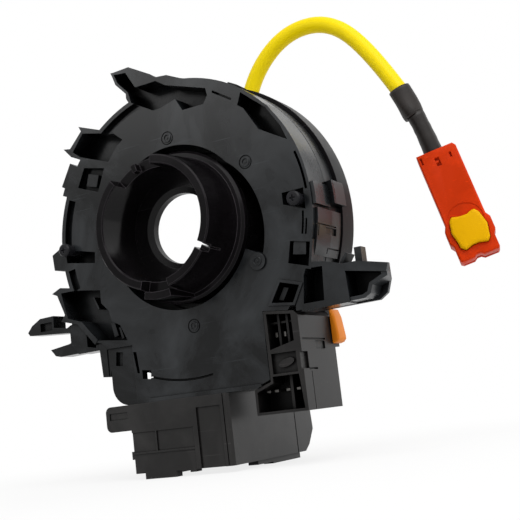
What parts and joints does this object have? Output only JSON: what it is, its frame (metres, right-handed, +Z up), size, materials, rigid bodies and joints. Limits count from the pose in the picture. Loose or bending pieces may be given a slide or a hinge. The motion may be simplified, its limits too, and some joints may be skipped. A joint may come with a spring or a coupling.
{
  "type": "steering clock spring",
  "caption": "Spiral cable unit for a steering column: round black drum with a turning hub and cam sleeve, column sockets, side brackets and a yellow-sleeved airbag lead.",
  "frame": {"origin": "middle of the steering shaft bore in the rotor, on the steering axis", "axes": "+Y along the steering axis toward the wheel, +Z up, +X to the right seen from the column; the column face looks toward -Y"},
  "size_m": [0.1691, 0.0948, 0.1756],
  "materials": {
    "black_moulding": "moulded black plastic, semi-gloss",
    "black_ring": "moulded black plastic, polished rim",
    "black_housing": "moulded black plastic, fine grain",
    "rotor_black": "moulded black plastic",
    "cam_black": "polished black plastic",
    "tin_pins": "tin-plated contact",
    "screw_steel": "black-coated screw",
    "ribbon": "flat cable film",
    "ribbon_block": "natural plastic",
    "slip_film": "low-friction film",
    "yellow_sleeve": "yellow protective sleeve",
    "boot_rubber": "dark grey heat-shrink",
    "jacket_rubber": "black cable jacket",
    "orange_red": "red-orange moulded plastic",
    "lock_yellow": "yellow moulded plastic",
    "lock_orange": "orange moulded plastic"
  },
  "bodies": {
    "stator": {"rear_cover": "black_moulding", "stator_case": "black_moulding", "front_ring": "black_ring", "lower_housing": "black_housing", "lower_terminals": "tin_pins", "side_housing": "black_housing", "side_terminals": "tin_pins", "case_screws": "screw_steel", "flat_cable": "ribbon", "outer_lead_block": "ribbon_block"},
    "rotor": {"rotor_hub": "rotor_black", "cancel_cam": "cam_black", "coil_liner": "slip_film", "inner_lead_block": "ribbon_block", "switch_socket": "rotor_black", "switch_terminals": "tin_pins", "lead_retainer": "rotor_black", "airbag_lead": "yellow_sleeve", "shrink_boot": "boot_rubber", "lead_tail": "jacket_rubber", "squib_connector": "orange_red", "squib_terminals": "tin_pins"},
    "squib_catch": {"squib_lock": "lock_yellow"},
    "socket_catch": {"socket_lock": "lock_orange"}
  },
  "joints": [
    {"name": "rotor_turn", "type": "hinge", "parent": "stator", "child": "rotor", "pos_m": [0, 0, 0], "axis": [0, 1, 0], "range_deg": [-900, 900]},
    {"name": "squib_catch_slide", "type": "slide", "parent": "rotor", "child": "squib_catch", "axis": [0.2665, -0.9613, 0.0704], "range_m": [0, 0.0025]},
    {"name": "socket_catch_slide", "type": "slide", "parent": "stator", "child": "socket_catch", "axis": [1, 0, 0], "range_m": [0, 0.003]}
  ]
}
